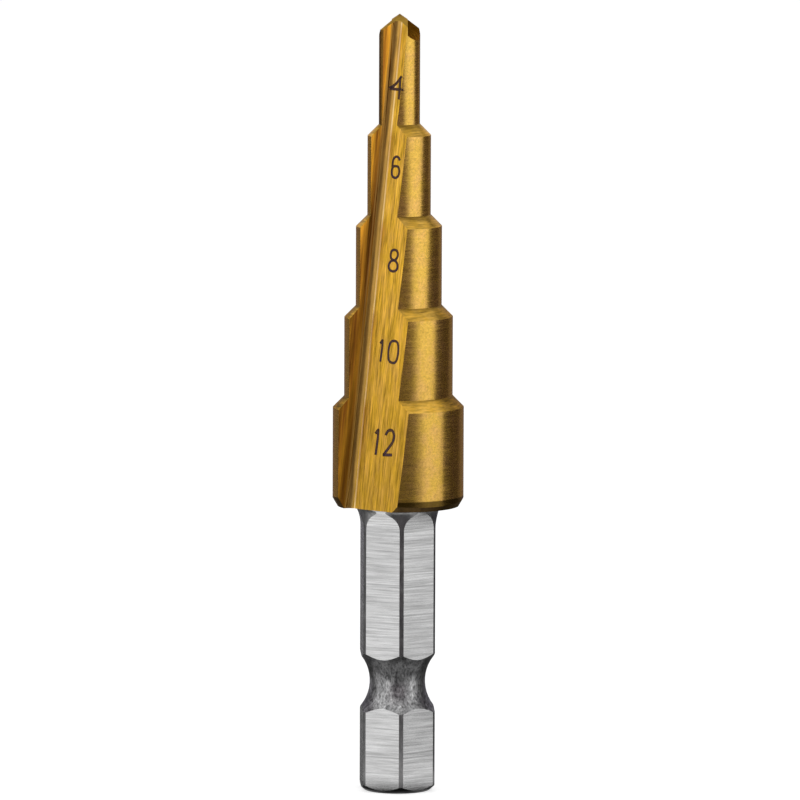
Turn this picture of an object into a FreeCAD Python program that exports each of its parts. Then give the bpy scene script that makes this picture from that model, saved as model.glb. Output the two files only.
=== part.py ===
import FreeCAD, Part
import math
import os
import Sketcher

# A two-flute step drill, 4 to 12 mm, ground from one bar with a quarter-inch hex shank.
# It stands on the flat end of its shank: Z is the drill's axis, and Z = 0 is that end.
NODE = "step_drill"

# Driving sizes in millimetres, and angles in degrees.
SIZES = {
    # Hex shank
    "shankLength": 25.3,      # from the end to the cutter's underside
    "shankFlats": 6.35,       # across the flats
    "shankCorners": 7.12,     # across the turned corners
    "endBevelWide": 0.65,
    "endBevelTall": 0.6,
    "neckFillet": 0.65,       # where the shank grows into the cutter
    "wheelRadius": 3.0,       # run-out at the top of each flat
    "flatRunOut": 1.9,        # from the cutter's underside to where the run-out starts
    "hexTurn": 5.6,           # direction in which the first flat faces, from +X
    # Detent groove, which the ball of a holder locks into
    "grooveHeight": 9.71,     # from the end to the groove's middle
    "waistDiameter": 4.9,
    "grooveRadius": 3.6,
    # Steps
    "stepCount": 5,
    "pilotDiameter": 4.0,
    "diameterRise": 2.0,      # from one step to the next
    "baseLength": 8.75,       # largest step, from its underside to its top edge
    "stepPitch": 8.0,
    "pilotReach": 9.33,       # from the next step's top edge to the point's corners
    "shoulderAngle": 45.0,    # each shoulder from the axis
    "baseBevelWide": 0.64,
    "baseBevelTall": 1.1,
    # Relief ground behind each cutting edge
    "reliefOffset": 0.42,     # how far each land's centre lies off the axis
    "reliefTurn": 304.0,      # direction of the first land's centre, from +X
    "stockAllowance": 0.5,    # ground off the bar all round
    # Flutes
    "fluteCount": 2,
    "rootBaseSide": 4.2,      # corner of the flute at the cutter's underside
    "rootBaseFront": 2.2,
    "rootTipSide": 0.12,      # and at the height of the point
    "rootTipFront": 0.66,
    "faceTurn": 27.6,         # cutting face from the X axis
    "heelTurn": 40.5,         # heel face from the X axis
    "rootFillet": 0.7,
    # Point
    "pointAngle": 112.0,
    "flankSideFall": 50.2,    # how steeply each flank falls to its side, from the horizontal
    "flankFrontFall": 34.4,   # and away behind its lip
    "flankInset": 0.7,        # wall of each flank, from the axis
    "cutOver": 1.0,           # how far each cut runs past the surface that it opens
}


# Expressions that more than one feature uses
def cell(name):
    return "sizes." + name


CUTTER_RADIUS = f"({cell('pilotDiameter')} + ({cell('stepCount')} - 1) * {cell('diameterRise')}) / 2"
LAST_EDGE = (f"{cell('shankLength')} + {cell('baseLength')}"
             f" + ({cell('stepCount')} - 2) * {cell('stepPitch')}")
POINT_CORNER = f"{LAST_EDGE} + {cell('pilotReach')}"
APEX = f"{POINT_CORNER} + {cell('pilotDiameter')} / 2 / tan({cell('pointAngle')} / 2 * 1deg)"
STOCK_RADIUS = f"{CUTTER_RADIUS} + {cell('reliefOffset')} + {cell('stockAllowance')}"
CLEAR_RADIUS = f"{STOCK_RADIUS} + 2 * {cell('reliefOffset')} + {cell('cutOver')}"


def add_sheet(doc):
    sheet = doc.addObject("Spreadsheet::Sheet", "sizes")
    for row, (name, value) in enumerate(SIZES.items(), start=1):
        sheet.set(f"A{row}", name)
        sheet.set(f"B{row}", str(value))
        sheet.setAlias(f"B{row}", name)
    doc.recompute()
    return sheet


def origin_feature(body, role):
    return next(item for item in body.Origin.OriginFeatures if item.Role == role)


def value_of(body, expression):
    result = body.evalExpression(expression)
    return float(getattr(result, "Value", result))


def add_sketch(body, name, plane, turn=None, height=None, lean=None):
    """An empty sketch on one of the body's planes: turned about Z, raised along it, or leant back at a height."""
    sketch = body.newObject("Sketcher::SketchObject", name)
    sketch.AttachmentSupport = [(origin_feature(body, plane), "")]
    sketch.MapMode = "FlatFace"
    if turn:
        sketch.AttachmentOffset = FreeCAD.Placement(
            FreeCAD.Vector(), FreeCAD.Rotation(FreeCAD.Vector(0, 1, 0), value_of(body, turn)))
        sketch.setExpression("AttachmentOffset.Rotation.Angle", turn)
    if height:
        sketch.setExpression("AttachmentOffset.Base.z", height)
    if lean:
        angle, level = lean
        sketch.AttachmentOffset = FreeCAD.Placement(
            FreeCAD.Vector(0, value_of(body, level), 0),
            FreeCAD.Rotation(FreeCAD.Vector(1, 0, 0), value_of(body, angle)))
        sketch.setExpression("AttachmentOffset.Base.y", level)
        sketch.setExpression("AttachmentOffset.Rotation.Angle", angle)
    return sketch


def arc_between(start, end, radius, side):
    """The short arc from start to end, bulging to the left (1) or the right (-1) of the chord."""
    chord = end - start
    half = chord.Length / 2
    normal = FreeCAD.Vector(-chord.y, chord.x, 0).normalize()
    rise = radius - math.sqrt(radius ** 2 - half ** 2)
    return Part.Arc(start, start + chord / 2 + normal * rise * side, end)


def add_outline(body, sketch, corners, arcs=None):
    """A closed outline whose corners are bound to the sheet; arcs maps an edge to (radius, side)."""
    arcs = arcs or {}
    points = [FreeCAD.Vector(value_of(body, x), value_of(body, y), 0) for x, y in corners]
    ends = []
    for index, start in enumerate(points):
        end = points[(index + 1) % len(points)]
        if index in arcs:
            radius, side = arcs[index]
            edge = sketch.addGeometry(arc_between(start, end, value_of(body, radius), side), False)
            forward = sketch.getPoint(edge, 1).distanceToPoint(start) < 1e-6
            ends.append((edge, 1, 2) if forward else (edge, 2, 1))
        else:
            ends.append((sketch.addGeometry(Part.LineSegment(start, end), False), 1, 2))
    for index, (edge, _, last) in enumerate(ends):
        following, first, _ = ends[(index + 1) % len(ends)]
        sketch.addConstraint(Sketcher.Constraint("Coincident", edge, last, following, first))
    for (edge, first, _), point, expressions in zip(ends, points, corners):
        for kind, size, expression in zip(("DistanceX", "DistanceY"), (point.x, point.y), expressions):
            number = sketch.addConstraint(Sketcher.Constraint(kind, -1, 1, edge, first, size))
            sketch.setExpression(f"Constraints[{number}]", expression)
    for index, (radius, _) in arcs.items():
        number = sketch.addConstraint(
            Sketcher.Constraint("Radius", ends[index][0], value_of(body, radius)))
        sketch.setExpression(f"Constraints[{number}]", radius)


def add_axis(body, sketch, distance):
    """A construction line parallel to the drill's axis, at a bound distance from it."""
    offset = value_of(body, distance)
    line = sketch.addGeometry(
        Part.LineSegment(FreeCAD.Vector(offset, 0, 0), FreeCAD.Vector(offset, 1, 0)), True)
    sketch.addConstraint(Sketcher.Constraint("Vertical", line))
    sketch.addConstraint(Sketcher.Constraint("DistanceY", line, 1, line, 2, 1))
    sketch.addConstraint(Sketcher.Constraint("PointOnObject", line, 1, -1))
    number = sketch.addConstraint(Sketcher.Constraint("DistanceX", -1, 1, line, 1, offset))
    sketch.setExpression(f"Constraints[{number}]", distance)


def add_revolve(body, kind, name, sketch, axis):
    feature = body.newObject(kind, name)
    feature.Profile = sketch
    feature.ReferenceAxis = axis
    feature.Angle = 360
    return feature


def add_cut_through(body, name, sketch):
    """A pocket that runs the same way to both sides of its sketch."""
    pocket = body.newObject("PartDesign::Pocket", name)
    pocket.Profile = sketch
    pocket.SideType = "Symmetric"
    pocket.setExpression("Length", f"2 * ({CLEAR_RADIUS})")
    return pocket


def add_ring(body, name, feature, count):
    """Repeats a cut about the drill's axis, and checks that it removed material."""
    ring = body.newObject("PartDesign::PolarPattern", name)
    ring.Originals = [feature]
    ring.Axis = (origin_feature(body, "Z_Axis"), [""])
    ring.Angle = 360
    ring.setExpression("Occurrences", count)
    body.Tip = ring
    before = feature.BaseFeature.Shape.Volume
    body.Document.recompute()
    removed = before - ring.Shape.Volume
    if removed <= 0:
        raise RuntimeError(f"{name} removed nothing")
    print(f"{name}: removed {removed:.2f} mm3")
    return ring


def add_blank(body):
    """The turned bar: shank, neck and a cutter blank that already carries the point's cone."""
    corner = f"{cell('shankCorners')} / 2"
    neck_base = f"{cell('shankLength')} - {cell('neckFillet')}"
    bevel_reach = f"({STOCK_RADIUS} - ({CUTTER_RADIUS}) + {cell('baseBevelWide')})"
    bevel_slope = f"{cell('baseBevelTall')} / {cell('baseBevelWide')}"
    sketch = add_sketch(body, "BlankProfile", "XZ_Plane")
    add_outline(body, sketch, [
        ("0", "0"),
        (f"{corner} - {cell('endBevelWide')}", "0"),
        (corner, cell("endBevelTall")),
        (corner, neck_base),
        (f"{corner} + {cell('neckFillet')}", cell("shankLength")),
        (f"{CUTTER_RADIUS} - {cell('baseBevelWide')}", cell("shankLength")),
        (STOCK_RADIUS, f"{cell('shankLength')} + {bevel_reach} * {bevel_slope}"),
        (STOCK_RADIUS, f"{APEX} - ({STOCK_RADIUS}) / tan({cell('pointAngle')} / 2 * 1deg)"),
        ("0", APEX),
    ], arcs={3: (cell("neckFillet"), 1)})
    return add_revolve(body, "PartDesign::Revolution", "Blank", sketch, (sketch, ["V_Axis"]))


def add_lands(body, steps):
    """The steps: each land is turned about its own centre, so that it falls away behind its edge."""
    sketch = add_sketch(body, "LandProfile", "XZ_Plane", turn=cell("reliefTurn"))
    add_axis(body, sketch, cell("reliefOffset"))

    def land_side(step):
        radius = f"({cell('pilotDiameter')} / 2 + {step} * {cell('diameterRise')} / 2)"
        return f"{cell('reliefOffset')} + sqrt({radius} ^ 2 + {cell('reliefOffset')} ^ 2)"

    corners = [(CLEAR_RADIUS, f"{cell('shankLength')} - {cell('cutOver')}"),
               (land_side(steps - 1), f"{cell('shankLength')} - {cell('cutOver')}")]
    for index in range(steps - 1):
        step = steps - 1 - index
        edge = f"{cell('shankLength')} + {cell('baseLength')} + {index} * {cell('stepPitch')}"
        shoulder = f"{cell('diameterRise')} / 2 / tan({cell('shoulderAngle')} * 1deg)"
        corners.append((land_side(step), edge))
        corners.append((land_side(step - 1), f"{edge} + {shoulder}"))
    corners.append((land_side(0), f"{APEX} + {cell('cutOver')}"))
    corners.append((CLEAR_RADIUS, f"{APEX} + {cell('cutOver')}"))
    add_outline(body, sketch, corners)
    land = add_revolve(body, "PartDesign::Groove", "Land", sketch, (sketch, ["Axis0"]))
    return add_ring(body, "Lands", land, cell("fluteCount"))


def add_flutes(body):
    """Each flute is a V with a rounded root, which runs up and in from the base to the point."""
    half_angle = f"(({cell('faceTurn')} + {cell('heelTurn')}) / 2 * 1deg)"
    reach = f"{cell('rootFillet')} * tan{half_angle}"
    leg = f"2 * ({CLEAR_RADIUS})"
    rise = f"({APEX} - {cell('shankLength')})"
    sections = []
    for name, height, share in (
            ("FluteBase", f"{cell('shankLength')} - {cell('cutOver')}", f"-{cell('cutOver')} / {rise}"),
            ("FluteTip", f"{APEX} + {cell('cutOver')}", f"(1 + {cell('cutOver')} / {rise})")):
        side = f"({cell('rootBaseSide')} + ({cell('rootTipSide')} - {cell('rootBaseSide')}) * {share})"
        front = f"({cell('rootBaseFront')} + ({cell('rootTipFront')} - {cell('rootBaseFront')}) * {share})"

        def along_face(length):
            return (f"-{side} - {length} * cos({cell('faceTurn')} * 1deg)",
                    f"-{front} - {length} * sin({cell('faceTurn')} * 1deg)")

        def along_heel(length):
            return (f"-{side} + {length} * cos({cell('heelTurn')} * 1deg)",
                    f"-{front} - {length} * sin({cell('heelTurn')} * 1deg)")

        sketch = add_sketch(body, name, "XY_Plane", height=height)
        add_outline(body, sketch,
                    [along_face(reach), along_heel(reach), along_heel(leg), along_face(leg)],
                    arcs={0: (cell("rootFillet"), 1)})
        sections.append(sketch)
    flute = body.newObject("PartDesign::SubtractiveLoft", "Flute")
    flute.Profile = sections[0]
    flute.Sections = [sections[1]]
    flute.Ruled = True
    return add_ring(body, "Flutes", flute, cell("fluteCount"))


def add_flanks(body):
    """The two ground flanks of the point: each falls away behind its lip, and stops at a wall beside the core."""
    sketch = add_sketch(body, "FlankProfile", "XZ_Plane", lean=(cell("flankFrontFall"), APEX))
    fall = f"tan({cell('flankSideFall')} * 1deg) * cos({cell('flankFrontFall')} * 1deg)"
    add_outline(body, sketch, [
        (cell("flankInset"), f"-{cell('flankInset')} * {fall}"),
        (CLEAR_RADIUS, f"-({CLEAR_RADIUS}) * {fall}"),
        (CLEAR_RADIUS, cell("cutOver")),
        (cell("flankInset"), cell("cutOver")),
    ])
    flank = add_cut_through(body, "Flank", sketch)
    return add_ring(body, "Flanks", flank, cell("fluteCount"))


def add_hex(body):
    """Six flats, each ground up to the cutter by a wheel that leaves a rounded run-out."""
    sketch = add_sketch(body, "FlatProfile", "XZ_Plane", turn=cell("hexTurn"))
    flat = f"{cell('shankFlats')} / 2"
    run_out = f"({cell('wheelRadius')} - sqrt({cell('wheelRadius')} ^ 2 - {cell('flatRunOut')} ^ 2))"
    outer = f"{cell('shankCorners')} / 2 + {cell('neckFillet')} + {cell('cutOver')}"
    add_outline(body, sketch, [
        (flat, f"-{cell('cutOver')}"),
        (flat, f"{cell('shankLength')} - {cell('flatRunOut')}"),
        (f"{flat} + {run_out}", cell("shankLength")),
        (outer, cell("shankLength")),
        (outer, f"-{cell('cutOver')}"),
    ], arcs={1: (cell("wheelRadius"), 1)})
    cut = add_cut_through(body, "Flat", sketch)
    return add_ring(body, "Flats", cut, "6")


def add_detent(body):
    """The groove round the shank that a quick-change holder locks into."""
    sketch = add_sketch(body, "GrooveProfile", "XZ_Plane")
    side = f"{cell('waistDiameter')} / 2 + {cell('grooveRadius')}"
    centre = FreeCAD.Vector(value_of(body, side), value_of(body, cell("grooveHeight")), 0)
    circle = sketch.addGeometry(
        Part.Circle(centre, FreeCAD.Vector(0, 0, 1), value_of(body, cell("grooveRadius"))), False)
    for constraint, expression in (
            (Sketcher.Constraint("DistanceX", -1, 1, circle, 3, centre.x), side),
            (Sketcher.Constraint("DistanceY", -1, 1, circle, 3, centre.y), cell("grooveHeight")),
            (Sketcher.Constraint("Radius", circle, SIZES["grooveRadius"]), cell("grooveRadius"))):
        number = sketch.addConstraint(constraint)
        sketch.setExpression(f"Constraints[{number}]", expression)
    return add_revolve(body, "PartDesign::Groove", "Detent", sketch, (sketch, ["V_Axis"]))


def check_document(doc, body):
    for item in doc.Objects:
        if {"Invalid", "Error"} & set(item.State):
            raise RuntimeError(f"{item.Name} failed: {item.State}")
    shape = body.Shape
    if shape.isNull() or not shape.isValid():
        raise RuntimeError("the drill has no valid solid")
    if len(shape.Solids) != 1:
        raise RuntimeError(f"the drill came out as {len(shape.Solids)} solids")


def main():
    doc = FreeCAD.newDocument("StepDrill")
    sheet = add_sheet(doc)
    body = doc.addObject("PartDesign::Body", "Drill")
    body.Label = NODE
    add_blank(body)
    doc.recompute()
    add_lands(body, int(sheet.stepCount))
    add_hex(body)
    add_flutes(body)
    add_flanks(body)
    body.Tip = add_detent(body)
    doc.recompute()
    check_document(doc, body)
    box = body.Shape.optimalBoundingBox(False, False)
    print(f"{NODE}: {box.XLength:.3f} x {box.YLength:.3f} x {box.ZLength:.3f} mm,"
          f" {body.Shape.Volume:.1f} mm3, {len(body.Shape.Faces)} faces")
    os.makedirs("parts", exist_ok=True)
    body.Shape.exportStep(f"parts/{NODE}.step")


main()
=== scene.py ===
import bpy, bmesh, math
from mathutils import Matrix, Vector
from mathutils.bvhtree import BVHTree


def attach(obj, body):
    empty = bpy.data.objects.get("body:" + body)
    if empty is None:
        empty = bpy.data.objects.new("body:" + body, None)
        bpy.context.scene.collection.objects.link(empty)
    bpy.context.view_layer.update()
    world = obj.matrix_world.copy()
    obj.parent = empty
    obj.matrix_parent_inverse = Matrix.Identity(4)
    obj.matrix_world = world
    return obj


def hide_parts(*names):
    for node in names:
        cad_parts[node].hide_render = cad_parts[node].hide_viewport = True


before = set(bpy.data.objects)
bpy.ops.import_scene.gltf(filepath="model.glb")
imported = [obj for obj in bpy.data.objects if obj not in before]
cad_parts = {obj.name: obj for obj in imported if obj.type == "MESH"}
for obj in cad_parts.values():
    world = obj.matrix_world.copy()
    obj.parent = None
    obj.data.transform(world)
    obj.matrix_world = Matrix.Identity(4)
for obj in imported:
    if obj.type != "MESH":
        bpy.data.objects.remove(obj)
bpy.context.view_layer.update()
print("frame loaded:", sorted(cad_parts))
mm = 0.001  # every length below is in millimetres until it meets this


def turned(azimuth):  # the level way at an azimuth, in degrees from +X
    a = math.radians(azimuth)
    return Vector((math.cos(a), math.sin(a), 0.0))


def meshObject(name, shape, materials):  # turns a bmesh into an object of the scene and frees it
    mesh = bpy.data.meshes.new(name)
    shape.to_mesh(mesh)
    shape.free()
    for m in materials:
        mesh.materials.append(m)
    ob = bpy.data.objects.new(name, mesh)
    bpy.context.collection.objects.link(ob)
    return ob


# camera, as the photograph was taken: from the front, a little above, with a long lens
view = {
    "distance": 800.0,
    "elevation": 6.48,
    "lens": 408.6,
    "sensor": 36.0,
    "clip": (50.0, 20000.0),
    "lookAt": (0.144, 0.0, 34.63),
    "roll": 0.21,  # degrees, the tip leans right
}
cam = bpy.data.cameras.new("camera")
cam.lens = view["lens"]
cam.sensor_width = view["sensor"]
cam.clip_start, cam.clip_end = (reach * mm for reach in view["clip"])
camObj = bpy.data.objects.new("camera", cam)
bpy.context.collection.objects.link(camObj)
tilt = math.radians(view["elevation"])
lookAt = Vector(view["lookAt"]) * mm
spot = lookAt + Vector((0.0, -math.cos(tilt), math.sin(tilt))) * view["distance"] * mm
camObj.matrix_world = (
    Matrix.Translation(spot)
    @ Matrix.Rotation(math.radians(90) - tilt, 4, "X")
    @ Matrix.Rotation(math.radians(view["roll"]), 4, "Z")
)
bpy.context.scene.camera = camObj
print("camera placed")


# node helpers: x and y only place a node in the editor
def put(tree, kind, x, y, **settings):  # a new node with its own settings, not its sockets
    n = tree.nodes.new(kind)
    n.location = (x, y)
    for k, v in settings.items():
        setattr(n, k, v)
    return n


def newGroup(name, inputs, outputs):
    g = bpy.data.node_groups.new(name, "ShaderNodeTree")
    for label, kind, value in inputs:
        s = g.interface.new_socket(name=label, in_out="INPUT", socket_type="NodeSocket" + kind)
        if value is not None:
            s.default_value = value
    for label, kind in outputs:
        g.interface.new_socket(name=label, in_out="OUTPUT", socket_type="NodeSocket" + kind)
    gin = put(g, "NodeGroupInput", -900, 0)
    gout = put(g, "NodeGroupOutput", 700, 0)
    return g, gin.outputs, gout


def feed(tree, node, **sources):  # each named input gets a link from a socket, or a constant
    for label, v in sources.items():
        if isinstance(v, bpy.types.NodeSocket):
            tree.links.new(v, node.inputs[label])
        else:
            node.inputs[label].default_value = v
    return node


def calc(tree, operation, x, y, a, b=None, clamp=False):
    n = put(tree, "ShaderNodeMath", x, y, operation=operation, use_clamp=clamp)
    for i, v in enumerate((a, b)):
        if isinstance(v, (int, float)):
            n.inputs[i].default_value = v
        elif v is not None:
            tree.links.new(v, n.inputs[i])
    return n.outputs[0]


def ramp(tree, x, y, source, before, after):  # carries one range to another, clamped at both ends
    n = put(tree, "ShaderNodeMapRange", x, y, clamp=True)
    labels = ("Value", "From Min", "From Max", "To Min", "To Max")
    return feed(tree, n, **dict(zip(labels, (source, *before, *after)))).outputs["Result"]


def mixColor(tree, x, y, factor, a, b):  # each of a and b is a socket or a colour
    n = put(tree, "ShaderNodeMix", x, y, data_type="RGBA")
    feed(tree, n, Factor=factor)
    firstColor, mixed = 6, 2  # the node's colour sockets come after its number and vector ones
    for i, v in enumerate((a, b)):
        if isinstance(v, tuple):
            n.inputs[firstColor + i].default_value = (*v, 1)
        else:
            tree.links.new(v, n.inputs[firstColor + i])
    return n.outputs[mixed]


def useGroup(tree, group, x, y, **sources):
    return feed(tree, put(tree, "ShaderNodeGroup", x, y, node_tree=group), **sources)


# streaks: noise drawn out along one direction of the given coordinates
streakGroup, gin, gout = newGroup(
    "streakField",
    [
        ("coords", "Vector", None),
        ("acrossScale", "Vector", (1, 1, 1)),
        ("detail", "Float", 3.0),
        ("grit", "Float", 0.6),
        ("low", "Float", 0.35),
        ("high", "Float", 0.65),
    ],
    [("mask", "Float")],
)
drawnOut = put(streakGroup, "ShaderNodeVectorMath", -650, 0, operation="MULTIPLY")
for i, label in enumerate(("coords", "acrossScale")):
    streakGroup.links.new(gin[label], drawnOut.inputs[i])
noise = put(streakGroup, "ShaderNodeTexNoise", -400, 0, noise_dimensions="3D")
feed(streakGroup, noise, Vector=drawnOut.outputs[0], Scale=1.0, Detail=gin["detail"], Roughness=gin["grit"])
mask = ramp(streakGroup, -100, 0, noise.outputs["Fac"], (gin["low"], gin["high"]), (0.0, 1.0))
feed(streakGroup, gout, mask=mask)

# tone: two masks laid over each other by weight make one multiplier round 1, then a painted highlight line is
# drawn on top
grey = (0.5, 0.5, 0.5, 1)
toneGroup, gin, gout = newGroup(
    "toneMix",
    [
        ("maskA", "Float", 0.5),
        ("weightA", "Float", 0.2),
        ("maskB", "Float", 0.5),
        ("weightB", "Float", 0.2),
        ("base", "Color", grey),
        ("tint", "Color", grey),
        ("tintMask", "Float", 0.0),
        ("climb", "Float", 0.0),
        ("line", "Float", 0.0),
        ("lineColor", "Color", grey),
    ],
    [("color", "Color")],
)
middleGrey = 0.5
weighed = []
for letter, y in (("A", -50), ("B", -250)):
    off = calc(toneGroup, "SUBTRACT", -700, y, gin["mask" + letter], middleGrey)
    weighed.append(calc(toneGroup, "MULTIPLY", -500, y, off, gin["weight" + letter]))
both = calc(toneGroup, "ADD", -300, -100, *weighed)
level = calc(toneGroup, "ADD", -300, -300, gin["climb"], 1.0)
even = calc(toneGroup, "ADD", -200, -100, both, 1.0)
scaled = put(toneGroup, "ShaderNodeVectorMath", 150, 0, operation="SCALE")
picked = mixColor(toneGroup, -500, 200, gin["tintMask"], gin["base"], gin["tint"])
toneGroup.links.new(picked, scaled.inputs[0])
feed(toneGroup, scaled, Scale=calc(toneGroup, "MULTIPLY", -20, -100, even, level))
# the painted highlight line laid over the tone
drawn = mixColor(toneGroup, 350, 0, gin["line"], scaled.outputs[0], gin["lineColor"])
feed(toneGroup, gout, color=drawn)


def newMaterial(name):
    m = bpy.data.materials.new(name)
    m.use_nodes = True
    t = m.node_tree
    bsdf = t.nodes["Principled BSDF"]
    bsdf.location = (900, 0)
    t.nodes["Material Output"].location = (1250, 0)
    return m, t, bsdf


streaks = {  # how each layer of a finish is drawn
    "fine": {"detail": 3.0, "grit": 0.7, "low": 0.3, "high": 0.7},
    "coarse": {"detail": 4.0, "grit": 0.65, "low": 0.32, "high": 0.68},
    "tint": {"detail": 2.0, "grit": 0.6, "low": 0.4, "high": 0.66},
}
highlightCore = 0.35  # share of the painted highlight line's half width that is at full strength


def metalFinish(name, spec):  # one machined finish: fine streaks, coarse streaks, a tint and a bump
    m, t, bsdf = newMaterial(name)
    if spec["coords"] == "uv":
        src = put(t, "ShaderNodeUVMap", -900, 0, uv_map="grain").outputs["UV"]
    else:
        src = put(t, "ShaderNodeTexCoord", -900, 0).outputs["Object"]
    masks = {}
    for i, (layer, look) in enumerate(streaks.items()):
        field = useGroup(t, streakGroup, -550, 250 - 250 * i, coords=src, **look)
        feed(t, field, acrossScale=spec[layer + "Scale"])
        masks[layer] = field.outputs["mask"]
    tone = useGroup(
        t, toneGroup, -150, 100,
        maskA=masks["fine"], weightA=spec["fineWeight"],
        maskB=masks["coarse"], weightB=spec["coarseWeight"],
        base=(*spec["base"], 1), tint=(*spec["tint"], 1), tintMask=masks["tint"],
    )
    gains = []
    if spec.keys() & {"climb", "foot", "pitch"}:
        place = put(t, "ShaderNodeTexCoord", -900, -450).outputs["Object"]
        height = feed(t, put(t, "ShaderNodeSeparateXYZ", -700, -450), Vector=place).outputs["Z"]
    if "climb" in spec:  # the tone changes with height
        low, high, change = spec["climb"]
        gains.append(ramp(t, -450, -450, height, (low * mm, high * mm), (0.0, change)))
    if "foot" in spec:  # painted shade: dark just above the base bevel
        low, high, change = spec["foot"]
        gains.append(ramp(t, -450, -1200, height, (low * mm, high * mm), (change, 0.0)))
    if "pitch" in spec:  # painted shade: each shoulder darkens towards its inner corner
        first, rise, low, high, change = spec["pitch"]
        fromFirst = calc(t, "SUBTRACT", -700, -1450, height, first * mm)
        inStep = calc(t, "FLOORED_MODULO", -550, -1450, fromFirst, rise * mm)
        gains.append(ramp(t, -400, -1450, inStep, (low * mm, high * mm), (0.0, change)))
    if spec.keys() & {"across", "line"}:
        side = feed(t, put(t, "ShaderNodeSeparateXYZ", -700, -700), Vector=src).outputs["X"]
    if "across" in spec:  # the tone changes across the flute
        low, high, change = spec["across"]
        gains.append(ramp(t, -450, -700, side, (low * mm, high * mm), (0.0, change)))
    if "line" in spec:  # painted highlight: the corner between two sides of the flute is drawn as a bright line
        middle, halfWidth, strength = spec["line"]
        away = calc(t, "SUBTRACT", -500, -950, side, middle * mm)
        far = calc(t, "ABSOLUTE", -330, -950, away)
        paintedHighlight = ramp(t, -150, -950, far, (halfWidth * mm, highlightCore * halfWidth * mm), (0.0, strength))
        feed(t, tone, line=paintedHighlight, lineColor=(*spec["lineColor"], 1))
    if gains:
        total = gains[0]
        for i, gain in enumerate(gains[1:]):
            total = calc(t, "ADD", -280, -550 - 200 * i, total, gain)
        feed(t, tone, climb=total)
    rough = ramp(t, 250, -150, masks["coarse"], (0.0, 1.0), spec["roughness"])
    bump = put(t, "ShaderNodeBump", 450, -350)
    feed(t, bump, Strength=spec["bumpStrength"], Distance=spec["bumpDepth"] * mm, Height=masks["fine"])
    feed(t, bsdf, **{
        "Base Color": tone.outputs["color"],
        "Metallic": 1.0,
        "Roughness": rough,
        "Normal": bump.outputs["Normal"],
        "Specular Tint": (*spec["rim"], 1),
    })
    return m


goldRim = (1.0, 0.8, 0.6)
steelRim = (1.0, 1.0, 1.0)
fluteSide = {  # ground along the flute
    "coords": "uv",  # x across the flute, y along it, metres
    "bumpStrength": 0.3,
    "bumpDepth": 0.004,
    "rim": goldRim,
}
dull = {  # left rough, with no direction
    "coords": "object",
    "fineScale": (2600, 2600, 2600),
    "coarseScale": (900, 900, 900),
    "tintScale": (700, 700, 700),
    "fineWeight": 0.4,
    "coarseWeight": 0.35,
    "roughness": (0.34, 0.46),
    "bumpStrength": 0.4,
    "bumpDepth": 0.006,
    "rim": goldRim,
}
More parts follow.
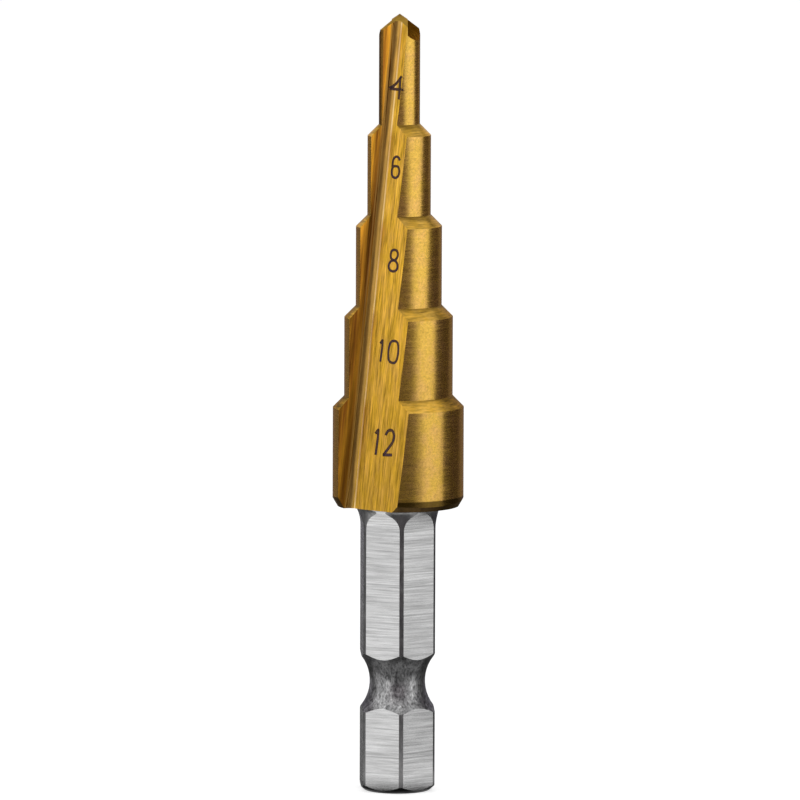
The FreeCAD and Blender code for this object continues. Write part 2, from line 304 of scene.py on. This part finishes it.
# climb, foot and across give from, to and change; pitch gives first, rise, from, to and change;
# line gives middle, half width and strength; line is a painted highlight, foot and pitch are painted shade
finishes = {
    "heelGold": {  # the flute's heel side
        **fluteSide,
        "fineScale": (6500, 360, 1),
        "coarseScale": (2600, 100, 1),
        "tintScale": (1500, 420, 1),
        "fineWeight": 1.1,
        "coarseWeight": 0.55,
        "base": (0.48, 0.27, 0.025),
        "tint": (0.515, 0.285, 0.045),
        "roughness": (0.26, 0.36),
        "climb": (27, 47, 0.36),
        # painted highlight along the corner with the root
        "line": (0.49, 0.10, 0.85),
        "lineColor": (1.0, 0.72, 0.34),
    },
    "faceGold": {  # its cutting side: darker, with long orange streaks
        **fluteSide,
        "fineScale": (4200, 170, 1),
        "coarseScale": (1500, 60, 1),
        "tintScale": (1900, 60, 1),
        "fineWeight": 1.0,
        "coarseWeight": 1.4,
        "base": (0.115, 0.042, 0.0055),
        "tint": (0.255, 0.118, 0.010),
        "roughness": (0.3, 0.4),
        "climb": (30, 60, 1.8),
        # painted shade: darker towards the flute's root corner
        "across": (-0.8, -1.4, 0.6),
        # a paler painted highlight line near the root
        "line": (-0.5, 0.09, 0.45),
        "lineColor": (0.45, 0.27, 0.08),
    },
    "rootGold": {  # the rounded root between them
        **fluteSide,
        "fineScale": (4200, 260, 1),
        "coarseScale": (1500, 150, 1),
        "tintScale": (1500, 200, 1),
        "fineWeight": 0.5,
        "coarseWeight": 0.4,
        "base": (0.46, 0.27, 0.065),
        "tint": (0.58, 0.33, 0.07),
        "roughness": (0.34, 0.44),
        "climb": (30, 60, 0.3),
        "across": (0.12, 0.4, -0.22),
        # painted highlight along the corner with the heel
        "line": (0.49, 0.10, 0.85),
        "lineColor": (1.0, 0.72, 0.34),
    },
    "landGold": {  # steps: turned, finely speckled
        "coords": "object",
        "fineScale": (4800, 4800, 4800),
        "coarseScale": (420, 420, 6500),
        "tintScale": (900, 900, 700),
        "fineWeight": 0.42,
        "coarseWeight": 0.24,
        "base": (0.655, 0.405, 0.072),
        "tint": (0.66, 0.39, 0.10),
        "roughness": (0.22, 0.30),
        "bumpStrength": 0.16,
        "bumpDepth": 0.005,
        "rim": goldRim,
        "climb": (28, 46, 0.20),
        # painted shade just above the base bevel
        "foot": (26.18, 26.26, -0.8),
    },
    "shoulderGold": {  # shoulders between the steps: turned in fine rings
        "coords": "object",
        "fineScale": (700, 700, 8000),
        "coarseScale": (800, 800, 2600),
        "tintScale": (900, 900, 700),
        "fineWeight": 0.9,
        "coarseWeight": 0.45,
        "base": (0.65, 0.378, 0.049),
        "tint": (0.70, 0.42, 0.078),
        "roughness": (0.28, 0.38),
        "bumpStrength": 0.4,
        "bumpDepth": 0.005,
        "rim": goldRim,
        "climb": (38, 50, -0.27),
        # painted shade towards each shoulder's inner corner
        "pitch": (34.05, 8.0, 0.55, 1.05, -0.5),
    },
    "edgeGold": {  # broken edges, where the coat is rubbed thin
        "coords": "object",
        "fineScale": (1500, 1500, 1500),
        "coarseScale": (700, 700, 700),
        "tintScale": (500, 500, 500),
        "fineWeight": 0.5,
        "coarseWeight": 0.3,
        "base": (0.80, 0.56, 0.24),
        "tint": (0.55, 0.36, 0.12),
        "roughness": (0.4, 0.5),
        "bumpStrength": 0.1,
        "bumpDepth": 0.002,
        "rim": goldRim,
    },
    "underShadeGold": {  # base bevel and underside: brown, as painted shade
        **dull,
        "base": (0.067, 0.041, 0.017),
        "tint": (0.105, 0.062, 0.02),
    },
    "lipGold": {  # narrow land behind each cutting edge on the first step, darkened as painted shade
        **dull,
        "base": (0.17, 0.085, 0.016),
        "tint": (0.21, 0.11, 0.02),
    },
    "pointGold": {  # cone of the point
        **dull,
        "base": (0.27, 0.165, 0.03),
        "tint": (0.36, 0.21, 0.03),
    },
    "flankGold": {  # ground flanks of the point, nearly brown as painted shade
        **dull,
        "base": (0.44, 0.19, 0.035),
        "tint": (0.52, 0.26, 0.05),
        "roughness": (0.22, 0.3),
        "rim": (0.6, 0.4, 0.2),
        # painted shade, darker still towards the tip
        "climb": (66.4, 67.4, -0.5),
    },
    "flatSteel": {  # the six flats: bare, ground across the shank
        "coords": "object",
        "fineScale": (200, 200, 9500),
        "coarseScale": (140, 140, 4000),
        "tintScale": (330, 330, 1300),
        "fineWeight": 0.62,
        "coarseWeight": 0.26,
        "base": (0.51, 0.51, 0.51),
        "tint": (0.58, 0.58, 0.58),
        "roughness": (0.22, 0.3),
        "bumpStrength": 0.3,
        "bumpDepth": 0.004,
        "rim": steelRim,
    },
    "skinSteel": {  # turned skin left at the corners and the neck
        **dull,
        "fineScale": (3500, 3500, 1300),
        "coarseScale": (1300, 1300, 600),
        "tintScale": (800, 800, 350),
        "base": (0.225, 0.225, 0.225),
        "tint": (0.29, 0.29, 0.29),
        "rim": steelRim,
    },
    "grooveSteel": {  # detent groove: hardened, dark and mottled
        "coords": "object",
        "fineScale": (6500, 6500, 3200),
        "coarseScale": (4200, 4200, 1500),
        "tintScale": (1300, 1300, 700),
        "fineWeight": 1.45,
        "coarseWeight": 0.75,
        "base": (0.26, 0.26, 0.262),
        "tint": (0.50, 0.50, 0.502),
        "roughness": (0.3, 0.46),
        "bumpStrength": 0.8,
        "bumpDepth": 0.012,
        "rim": steelRim,
        # painted shade: darker over the groove's upper part
        "climb": (9.6, 10.7, -0.72),
    },
    "endSteel": {  # bevelled end, nearly black as painted shade where it stands on the floor
        **dull,
        "coarseWeight": 0.3,
        "base": (0.022, 0.022, 0.023),
        "tint": (0.04, 0.04, 0.041),
        "rim": steelRim,
    },
}
finishSlot = {name: i for i, name in enumerate(finishes)}
finishMaterials = [metalFinish(name, spec) for name, spec in finishes.items()]
print("metal finishes made")

# drill body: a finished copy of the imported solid, with broken edges and its finishes
drill = {
    "cutterBase": 25.3,
    "bevelTop": 26.4,
    "flankLow": 65.8,  # lowest that the point's ground flanks reach
    "firstStep": 58.6,
    "lipTurn": 44.0,  # the lip ends at this azimuth, on either side of the drill
    "flatAcross": 6.35,
    "flatTurn": 5.6,  # azimuth of one flat
    "endBevel": 0.62,
    "grooveLow": 7.1,
    "grooveHigh": 12.32,
    "rootBase": (-4.2, -2.2, 25.3),  # the seen flute's corner line
    "rootTip": (-0.12, -0.66, 68.729),
    "heelTurn": -40.5,  # azimuth along the heel face
    "faceTurn": 207.6,  # azimuth along the cutting face
    "flankFall": (1.2, -0.685, 1.0),  # way that the seen flank faces
    "weldGap": 0.0004,
    "slimGap": 0.0008,
    "mergeAngle": 0.4,
    "cuttingBreak": 0.015,
    "edgeBreak": 0.08,
    "sharpAngle": 31.0,  # edges sharper than this are broken
    "goldEdgeLow": 0.2,  # above the cutter's base, edges are gold
    "shadeEdgeHigh": 0.15,  # and painted-shade brown up to this much above the bevel's top
    "hardAngle": 55.0,  # shading breaks at this angle within one finish
    "meetAngle": 10.0,  # and at this one between two finishes
    "normalWeight": 60,
}
sorting = {  # how faces are told apart: gaps in millimetres, the rest are cosines
    "slack": 0.02,
    "alike": 0.99,
    "sideGap": 0.06,
    "rootReach": 0.75,
    "rootTilt": 0.3,
    "bevelTilt": -0.2,
    "pointTilt": 0.3,
    "shoulderTilt": 0.35,
    "underTilt": -0.9,
    "endTilt": (-0.98, -0.1),
    "flatAlike": 0.9995,
    "flatGap": 0.01,
}
halfTurn = 180
flutes = []
flankWays = []
for k in (0, halfTurn):
    spin = Matrix.Rotation(math.radians(k), 3, "Z")
    along = (spin @ (Vector(drill["rootTip"]) - Vector(drill["rootBase"]))).normalized()
    heel = turned(drill["heelTurn"] + k)
    face = turned(drill["faceTurn"] + k)
    fl = {"base": spin @ Vector(drill["rootBase"]), "along": along, "heel": heel, "face": face}
    for key, normal in (("heelNormal", along.cross(heel)), ("faceNormal", face.cross(along))):
        normal.normalize()
        fl[key] = -normal if normal.dot(heel + face) < 0 else normal  # out of the solid, into the flute
    flutes.append(fl)
    flankWays.append(spin @ Vector(drill["flankFall"]).normalized())


def finishOf(f):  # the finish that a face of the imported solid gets
    c = f.calc_center_median() / mm
    n = f.normal
    if c.z > drill["cutterBase"] + sorting["slack"]:
        for fl in flutes:
            off = c - fl["base"]
            for key, finish in (("heelNormal", "heelGold"), ("faceNormal", "faceGold")):
                if n.dot(fl[key]) > sorting["alike"] and abs(off.dot(fl[key])) < sorting["sideGap"]:
                    return finish
            fromCorner = off - fl["along"] * off.dot(fl["along"])
            if fromCorner.length < sorting["rootReach"] and abs(n.z) < sorting["rootTilt"]:
                return "rootGold"
        # the base bevel takes the painted shade
        if c.z < drill["bevelTop"] and n.z < sorting["bevelTilt"]:
            return "underShadeGold"
        if c.z > drill["flankLow"] and n.z > sorting["pointTilt"]:
            return "flankGold" if max(n.dot(w) for w in flankWays) > sorting["alike"] else "pointGold"
        if n.z > sorting["shoulderTilt"]:
            return "shoulderGold"
        turn = math.degrees(math.atan2(c.y, c.x)) % halfTurn
        # one side of the first step's land takes the darker lip finish, a painted shade
        return "lipGold" if c.z > drill["firstStep"] and turn < drill["lipTurn"] else "landGold"
    # the cutter's underside takes the painted shade
    if c.z > drill["cutterBase"] - sorting["slack"] and n.z < sorting["underTilt"]:
        return "underShadeGold"
    if c.z < drill["endBevel"]:
        low, high = sorting["endTilt"]
        return "endSteel" if low < n.z < high else "flatSteel"
    level = Vector((n.x, n.y, 0)).normalized()
    for k in range(6):
        d = turned(drill["flatTurn"] + 60 * k)
        if level.dot(d) > sorting["flatAlike"] and c.dot(d) > drill["flatAcross"] / 2 - sorting["flatGap"]:
            return "flatSteel"
    return "grooveSteel" if drill["grooveLow"] < c.z < drill["grooveHigh"] else "skinSteel"


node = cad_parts["step_drill"]
bm = bmesh.new()
bm.from_mesh(node.data)
bmesh.ops.remove_doubles(bm, verts=bm.verts, dist=drill["weldGap"] * mm)
bmesh.ops.dissolve_degenerate(bm, edges=bm.edges, dist=drill["slimGap"] * mm)
bmesh.ops.dissolve_limit(
    bm, angle_limit=math.radians(drill["mergeAngle"]),
    verts=bm.verts, edges=bm.edges, use_dissolve_boundaries=False,
)
bm.normal_update()
for f in bm.faces:
    f.material_index = finishSlot[finishOf(f)]
cuttingSlot = finishSlot["faceGold"]
for offset, keen in ((drill["cuttingBreak"], True), (drill["edgeBreak"], False)):  # cutting edges first
    bm.normal_update()
    sharp = [
        e for e in bm.edges
        if len(e.link_faces) == 2
        and e.calc_face_angle(0) >= math.radians(drill["sharpAngle"])
        and any(f.material_index == cuttingSlot for f in e.link_faces) == keen
        and not any(f.tag for f in e.link_faces)
    ]
    made = bmesh.ops.bevel(
        bm, geom=sharp, offset=offset * mm, offset_type="OFFSET", segments=2, profile=0.5,
        affect="EDGES", material=-1, clamp_overlap=True,
    )["faces"]
    for f in made:
        f.tag = True
        z = f.calc_center_median().z
        if not keen and z > (drill["cutterBase"] + drill["goldEdgeLow"]) * mm:
            # edge strips just above the base bevel take the painted shade
            brown = z < (drill["bevelTop"] + drill["shadeEdgeHigh"]) * mm
            f.material_index = finishSlot["underShadeGold" if brown else "edgeGold"]
bmesh.ops.remove_doubles(bm, verts=bm.verts, dist=drill["weldGap"] * mm)
bm.normal_update()
for f in bm.faces:
    f.smooth = True
rootSlot = finishSlot["rootGold"]
for e in bm.edges:
    if len(e.link_faces) == 2:
        slots = {f.material_index for f in e.link_faces}
        limit = drill["hardAngle"] if len(slots) == 1 or rootSlot in slots else drill["meetAngle"]
        e.smooth = e.calc_face_angle(0) < math.radians(limit)
grain = bm.loops.layers.uv.new("grain")
sides = []
for fl in flutes:
    sides += [(fl["heelNormal"], fl, fl["heel"]), (fl["faceNormal"], fl, -fl["face"])]
for f in bm.faces:
    fl, way = max(sides, key=lambda side: f.normal.dot(side[0]))[1:]
    for loop in f.loops:
        q = loop.vert.co - fl["base"] * mm
        run = q.dot(fl["along"])
        loop[grain].uv = ((q - fl["along"] * run).dot(way), run)
hull = BVHTree.FromBMesh(bm)
print("drill body faces:", len(bm.faces))
perFinish = {name: sum(f.material_index == i for f in bm.faces) for name, i in finishSlot.items()}
print("faces per finish:", perFinish)
body = meshObject("drillBody", bm, finishMaterials)
wn = body.modifiers.new("weightedNormals", "WEIGHTED_NORMAL")
wn.keep_sharp = True
wn.weight = drill["normalWeight"]
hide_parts("step_drill")
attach(body, "root")

# size marks on the seen flute's heel face, one line wide, from the flute's own corner line
marks = {
    "halfStroke": 0.128,
    "proud": 0.008,
    "slant": -2.0,
    "step": 1.34,  # from one digit to the next
    "weldGap": 0.0005,
    "castHeight": 4.0,
    "words": {  # across the heel, along it, size
        "4": (2.46, 37.2, 1.0),
        "6": (2.88, 30.18, 0.9),
        "8": (3.27, 22.04, 0.92),
        "10": (3.20, 14.05, 0.92),
        "12": (3.32, 6.02, 1.07),
    },
}
ring, stroke = True, False  # lines that close on themselves, and lines with two ends
glyphs = {
    "0": [
        (ring, [
            (0.0, 1.08), (0.46, 0.98), (0.62, 0.3), (0.6, -0.4), (0.4, -1.0),
            (-0.05, -1.08), (-0.5, -0.9), (-0.62, -0.25), (-0.6, 0.4), (-0.42, 0.95),
        ]),
    ],
    "1": [
        (stroke, [(-0.28, 0.68), (0.0, 1.02), (0.0, 1.02), (0.03, 0.6), (0.0, -0.3), (-0.06, -1.05)]),
    ],
    "2": [
        (stroke, [
            (-0.4, 0.62), (-0.3, 1.0), (0.2, 1.16), (0.52, 0.78), (0.48, 0.22), (0.05, -0.35), (-0.45, -0.98),
        ]),
        (stroke, [(-0.56, -1.0), (0.1, -0.96), (0.46, -0.9)]),
    ],
    "4": [
        (stroke, [(0.42, 1.02), (0.06, 0.42), (-0.68, -0.16)]),
        (stroke, [(-0.68, -0.16), (0.0, -0.22), (0.62, -0.14)]),
        (stroke, [(0.3, 0.95), (0.3, 0.1), (0.34, -0.5), (0.3, -1.05)]),
    ],
    "6": [
        (stroke, [(0.42, 0.72), (0.26, 1.04), (-0.12, 1.08), (-0.42, 0.8), (-0.46, 0.3), (-0.46, 0.0)]),
        (ring, [
            (0.0, 0.14), (0.36, 0.1), (0.5, -0.35), (0.4, -0.86),
            (0.0, -1.06), (-0.42, -0.86), (-0.52, -0.35), (-0.38, 0.08),
        ]),
    ],
    "8": [
        (ring, [
            (0.05, 1.06), (0.42, 0.9), (0.5, 0.5), (0.3, 0.12),
            (0.0, 0.0), (-0.34, 0.14), (-0.46, 0.52), (-0.36, 0.92),
        ]),
        (ring, [
            (0.0, 0.06), (0.42, -0.12), (0.58, -0.52), (0.46, -0.92),
            (0.0, -1.08), (-0.46, -0.92), (-0.6, -0.52), (-0.4, -0.12),
        ]),
    ],
}
seen = flutes[0]
acrossWay = seen["heel"]
outWay = seen["heelNormal"]
upWay = (seen["along"] - acrossWay * seen["along"].dot(acrossWay)).normalized()


def strokeMesh(lines):  # the glyph's lines as thin round rods, to be flattened on the face
    curve = bpy.data.curves.new("strokes", "CURVE")
    curve.dimensions = "3D"
    curve.resolution_u = 6
    curve.bevel_depth = marks["halfStroke"]
    curve.bevel_resolution = 1
    curve.use_fill_caps = True
    for closed, points in lines:
        s = curve.splines.new("NURBS")
        s.points.add(len(points) - 1)
        for i, (x, y) in enumerate(points):
            s.points[i].co = (x, y, 0.0, 1.0)
        s.order_u = 3
        s.use_cyclic_u = closed
        s.use_endpoint_u = not closed
    holder = bpy.data.objects.new("strokes", curve)
    bpy.context.collection.objects.link(holder)
    bpy.context.view_layer.update()
    m = bpy.data.meshes.new_from_object(holder.evaluated_get(bpy.context.evaluated_depsgraph_get()))
    bpy.data.objects.remove(holder)
    bpy.data.curves.remove(curve)
    return m


mb = bmesh.new()
lean = Matrix.Rotation(math.radians(marks["slant"]), 4, "Z")
for word, (across, along, size) in marks["words"].items():
    for i, digit in enumerate(word):
        shift = (i - (len(word) - 1) / 2) * marks["step"]
        m = strokeMesh(glyphs[digit])
        sized = Matrix.Diagonal((size, size, 1, 1))
        m.transform(Matrix.Translation((across + shift, along, 0)) @ lean @ sized)
        mb.from_mesh(m)
        bpy.data.meshes.remove(m)
bmesh.ops.remove_doubles(mb, verts=mb.verts, dist=marks["weldGap"])
for v in mb.verts:  # from the drawing's plane to the heel face
    p = (seen["base"] + acrossWay * v.co.x + upWay * v.co.y) * mm
    lift = (v.co.z / marks["halfStroke"]) * marks["proud"] * mm
    hit = hull.ray_cast(p + outWay * marks["castHeight"] * mm, -outWay, 2 * marks["castHeight"] * mm)[0]
    v.co = (hit or p) + outWay * lift
bmesh.ops.recalc_face_normals(mb, faces=mb.faces)
for f in mb.faces:
    f.smooth = True
print("size marks faces:", len(mb.faces))
markInk = {
    "base": (0.038, 0.015, 0.018),
    "tint": (0.04, 0.012, 0.05),
    "fade": (0.12, 0.05, 0.02),
    "hue": {"acrossScale": (900, 900, 900), "detail": 1.0, "low": 0.4, "high": 0.6},
    "worn": {"acrossScale": (3000, 3000, 2200), "detail": 2.0, "low": 0.35, "high": 0.7},
    "roughness": (0.4, 0.6),
    "metallic": 0.3,
}
ink, t, bsdf = newMaterial("markInk")
src = put(t, "ShaderNodeTexCoord", -900, 0).outputs["Object"]
hue = useGroup(t, streakGroup, -550, -100, coords=src, **markInk["hue"]).outputs["mask"]
worn = useGroup(t, streakGroup, -550, 200, coords=src, **markInk["worn"]).outputs["mask"]
fresh = mixColor(t, -150, 0, hue, markInk["base"], markInk["tint"])
faded = mixColor(t, 150, 0, worn, fresh, markInk["fade"])
rough = ramp(t, 150, -250, worn, (0.0, 1.0), markInk["roughness"])
feed(t, bsdf, **{"Base Color": faded, "Metallic": markInk["metallic"], "Roughness": rough})
sizeMarks = meshObject("sizeMarks", mb, [ink])
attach(sizeMarks, "root")

# studio: white floor and surround, three softboxes, cards and a disc that only reflections see
studio = {
    "floorHalf": 1500.0,
    "floorColor": (0.82, 0.82, 0.82),
    "floorGlow": 0.70,
    "worldFill": 0.35,
    "roughness": 0.9,
    "aimHeight": 34.0,
    "boxes": {  # degrees from the camera's side, distance, width, height, radiance
        "leftBox": (-68, 700.0, 420.0, 520.0, 0.62),
        "rightBox": (66, 700.0, 380.0, 520.0, 0.75),
    },
    "topBox": (900.0, 700.0, 0.6),  # height, side, radiance
    "cardColor": (0.01, 0.01, 0.01),
    "cardLift": 0.3,
    "discRadius": 6.5,
    "discLift": 0.2,
    "discGlow": (0.1, 0.1, 0.1),
}
white = (1, 1, 1)


def seenPart(tree, x, y):  # 1 for rays that show a surface: straight, mirrored or through glass
    path = put(tree, "ShaderNodeLightPath", x, y).outputs
    direct = calc(tree, "ADD", x + 200, y, path["Is Camera Ray"], path["Is Glossy Ray"])
    return calc(tree, "ADD", x + 400, y, direct, path["Is Transmission Ray"], clamp=True)


def stageMaterial(name, color, glow):
    m, t, bsdf = newMaterial(name)
    feed(t, bsdf, **{
        "Base Color": (*color, 1),
        "Roughness": studio["roughness"],
        "Specular IOR Level": 0.0,
        "Emission Color": (*glow, 1),
        "Emission Strength": 1.0,
    })
    return m, t, bsdf


def onlyReflected(ob):
    ob.visible_camera = False
    ob.visible_diffuse = False
    ob.visible_shadow = False


paper, t, bsdf = stageMaterial("floorPaper", studio["floorColor"], white)
glow = calc(t, "MULTIPLY", 650, -300, seenPart(t, 0, -300), studio["floorGlow"])
feed(t, bsdf, **{"Emission Strength": glow})
fb = bmesh.new()
bmesh.ops.create_grid(fb, x_segments=1, y_segments=1, size=studio["floorHalf"] * mm)
floor = meshObject("floor", fb, [paper])


def wall(line, low, high, glow):  # an upright card over a line of the plan
    return [(x, y, low) for x, y in line], [(x, y, high) for x, y in line], glow


def mat(outer, inner, glow, height=0):  # a level card between two lines of the plan
    return [(x, y, height) for x, y in outer], [(x, y, height) for x, y in inner], glow


leftNear = [(-41, 2), (-41, 30)]
leftFar = [(-41, 30), (-51, 260), (-66, 600)]
leftOuter = [(-41, 2), (-41, 70), (-51, 260), (-66, 600)]
leftInner = [(-3.3, 3.5), (-5, 70), (-9, 260), (-11, 600)]
rightNear = [(41, -6), (41, 38)]
rightFar = [(41, 38), (51, 260), (66, 600)]
rightOuter = [(41, -6), (41, 70), (51, 260), (66, 600)]
rightInner = [(7, 3), (7, 70), (9, 260), (11, 600)]
frontDark = [(-200, -340), (202, -340)]
frontFade = [(202, -340), (263, -340)]
frontPale = [(263, -340), (349, -340)]
halfWay = [(-126.5, -215), (127.7, -215)]
cards = {
    "leftLow": wall(leftNear, 0, 20, (0.13, 0.13, 0.13)),
    "leftNear": wall(leftNear, 20, 75, (0.075, 0.06, 0.075)),
    "leftFar": wall(leftFar, 0, 75, (0.2, 0.19, 0.22)),
    "leftFoot": mat(leftOuter, leftInner, (0.15, 0.15, 0.15)),
    "rightLow": wall(rightNear, 0, 20, (0.055, 0.055, 0.055)),
    "rightNear": wall(rightNear, 20, 43, (0.07, 0.056, 0.07)),
    "rightMid": wall([(41, -1), (41, 38)], 43, 52, (0.08, 0.062, 0.07)),
    "rightTop": wall([(41, 4), (41, 38)], 52, 75, (0.09, 0.07, 0.07)),
    "rightFar": wall(rightFar, 0, 75, (0.2, 0.19, 0.22)),
    "rightFoot": mat(rightOuter, rightInner, (0.12, 0.12, 0.12)),
    "rightFloor": mat([(14, -16), (95, -62)], [(14, 0), (95, -8)], (0.72, 0.72, 0.72)),
    "hood": mat([(-3, -18), (9, -18)], [(-8, -46), (22, -46)], (0.1, 0.1, 0.1), 85),
    "frontLow": wall(frontDark, 0, 8, (0.125, 0.100, 0.12)),
    "frontMid": wall(frontDark, 8, 17, (0.155, 0.125, 0.15)),
    "frontHigh": wall(frontDark, 17, 300, (0.24, 0.20, 0.22)),
    "frontFade": wall(frontFade, 0, 300, (0.22, 0.18, 0.2)),
    "frontPale": wall(frontPale, 0, 300, (0.62, 0.62, 0.62)),
    "frontFar": mat(frontDark, halfWay, (0.12, 0.095, 0.12)),
    "frontFoot": mat(halfWay, [(-10, -17), (10.1, -17)], (0.13, 0.13, 0.13)),
    "footFade": mat(frontFade, [(10.1, -17), (13.1, -17)], (0.23, 0.22, 0.22)),
    "footPale": mat(frontPale, [(13.1, -17), (17.4, -17)], (0.62, 0.62, 0.62)),
    "pointCard": wall([(114, 77), (82, 109)], 108, 156, (0.04, 0.04, 0.04)),
}
clear = Vector((0, 0, studio["cardLift"] * mm))  # keeps the level ones off the floor
for name, (first, last, glow) in cards.items():
    cb = bmesh.new()
    vs = [cb.verts.new(Vector(v) * mm + clear) for v in first]
    es = [cb.edges.new(pair) for pair in zip(vs, vs[1:])]
    grown = bmesh.ops.extrude_edge_only(cb, edges=es)["geom"]
    for v in (g for g in grown if isinstance(g, bmesh.types.BMVert)):
        k = min(range(len(first)), key=lambda i: (v.co - Vector(first[i]) * mm).length)
        v.co = Vector(last[k]) * mm + clear
    felt = stageMaterial(name + "Felt", studio["cardColor"], glow)[0]
    co = meshObject(name, cb, [felt])
    onlyReflected(co)

db = bmesh.new()  # dark disc round the foot: painted shade that reflections see where the shank stands on the floor
bmesh.ops.create_circle(db, cap_ends=True, segments=64, radius=studio["discRadius"] * mm)
bmesh.ops.translate(db, verts=db.verts, vec=(0, 0, studio["discLift"] * mm))
felt = stageMaterial("footShadeFelt", studio["cardColor"], studio["discGlow"])[0]
disc = meshObject("footShadeDisc", db, [felt])
onlyReflected(disc)

world = bpy.data.worlds.new("surround")
bpy.context.scene.world = world
world.use_nodes = True
wt = world.node_tree
shown = calc(wt, "MULTIPLY", -300, 0, seenPart(wt, -800, 0), 1.0 - studio["worldFill"])
strength = calc(wt, "ADD", -150, 0, shown, studio["worldFill"])
feed(wt, wt.nodes["Background"], Color=(*white, 1), Strength=strength)


def softbox(name, place, wide, tall, radiance):
    light = bpy.data.lights.new(name, "AREA")
    light.shape = "RECTANGLE"
    light.size = wide * mm
    light.size_y = tall * mm
    light.energy = radiance * math.pi * wide * tall * mm * mm
    ob = bpy.data.objects.new(name, light)
    bpy.context.collection.objects.link(ob)
    ob.visible_glossy = False  # metal mirrors the surround and the cards alone
    look = (Vector((0, 0, studio["aimHeight"] * mm)) - place).normalized()
    ob.matrix_world = Matrix.Translation(place) @ look.to_track_quat("-Z", "Y").to_matrix().to_4x4()


for name, (turn, dist, wide, tall, radiance) in studio["boxes"].items():
    a = math.radians(turn)
    place = Vector((math.sin(a) * dist * mm, -math.cos(a) * dist * mm, 0.5 * tall * mm))
    softbox(name, place, wide, tall, radiance)
height, side, radiance = studio["topBox"]
softbox("topBox", Vector((0, 0, height * mm)), side, side, radiance)
bpy.context.scene.view_settings.view_transform = "Standard"
print("studio set")
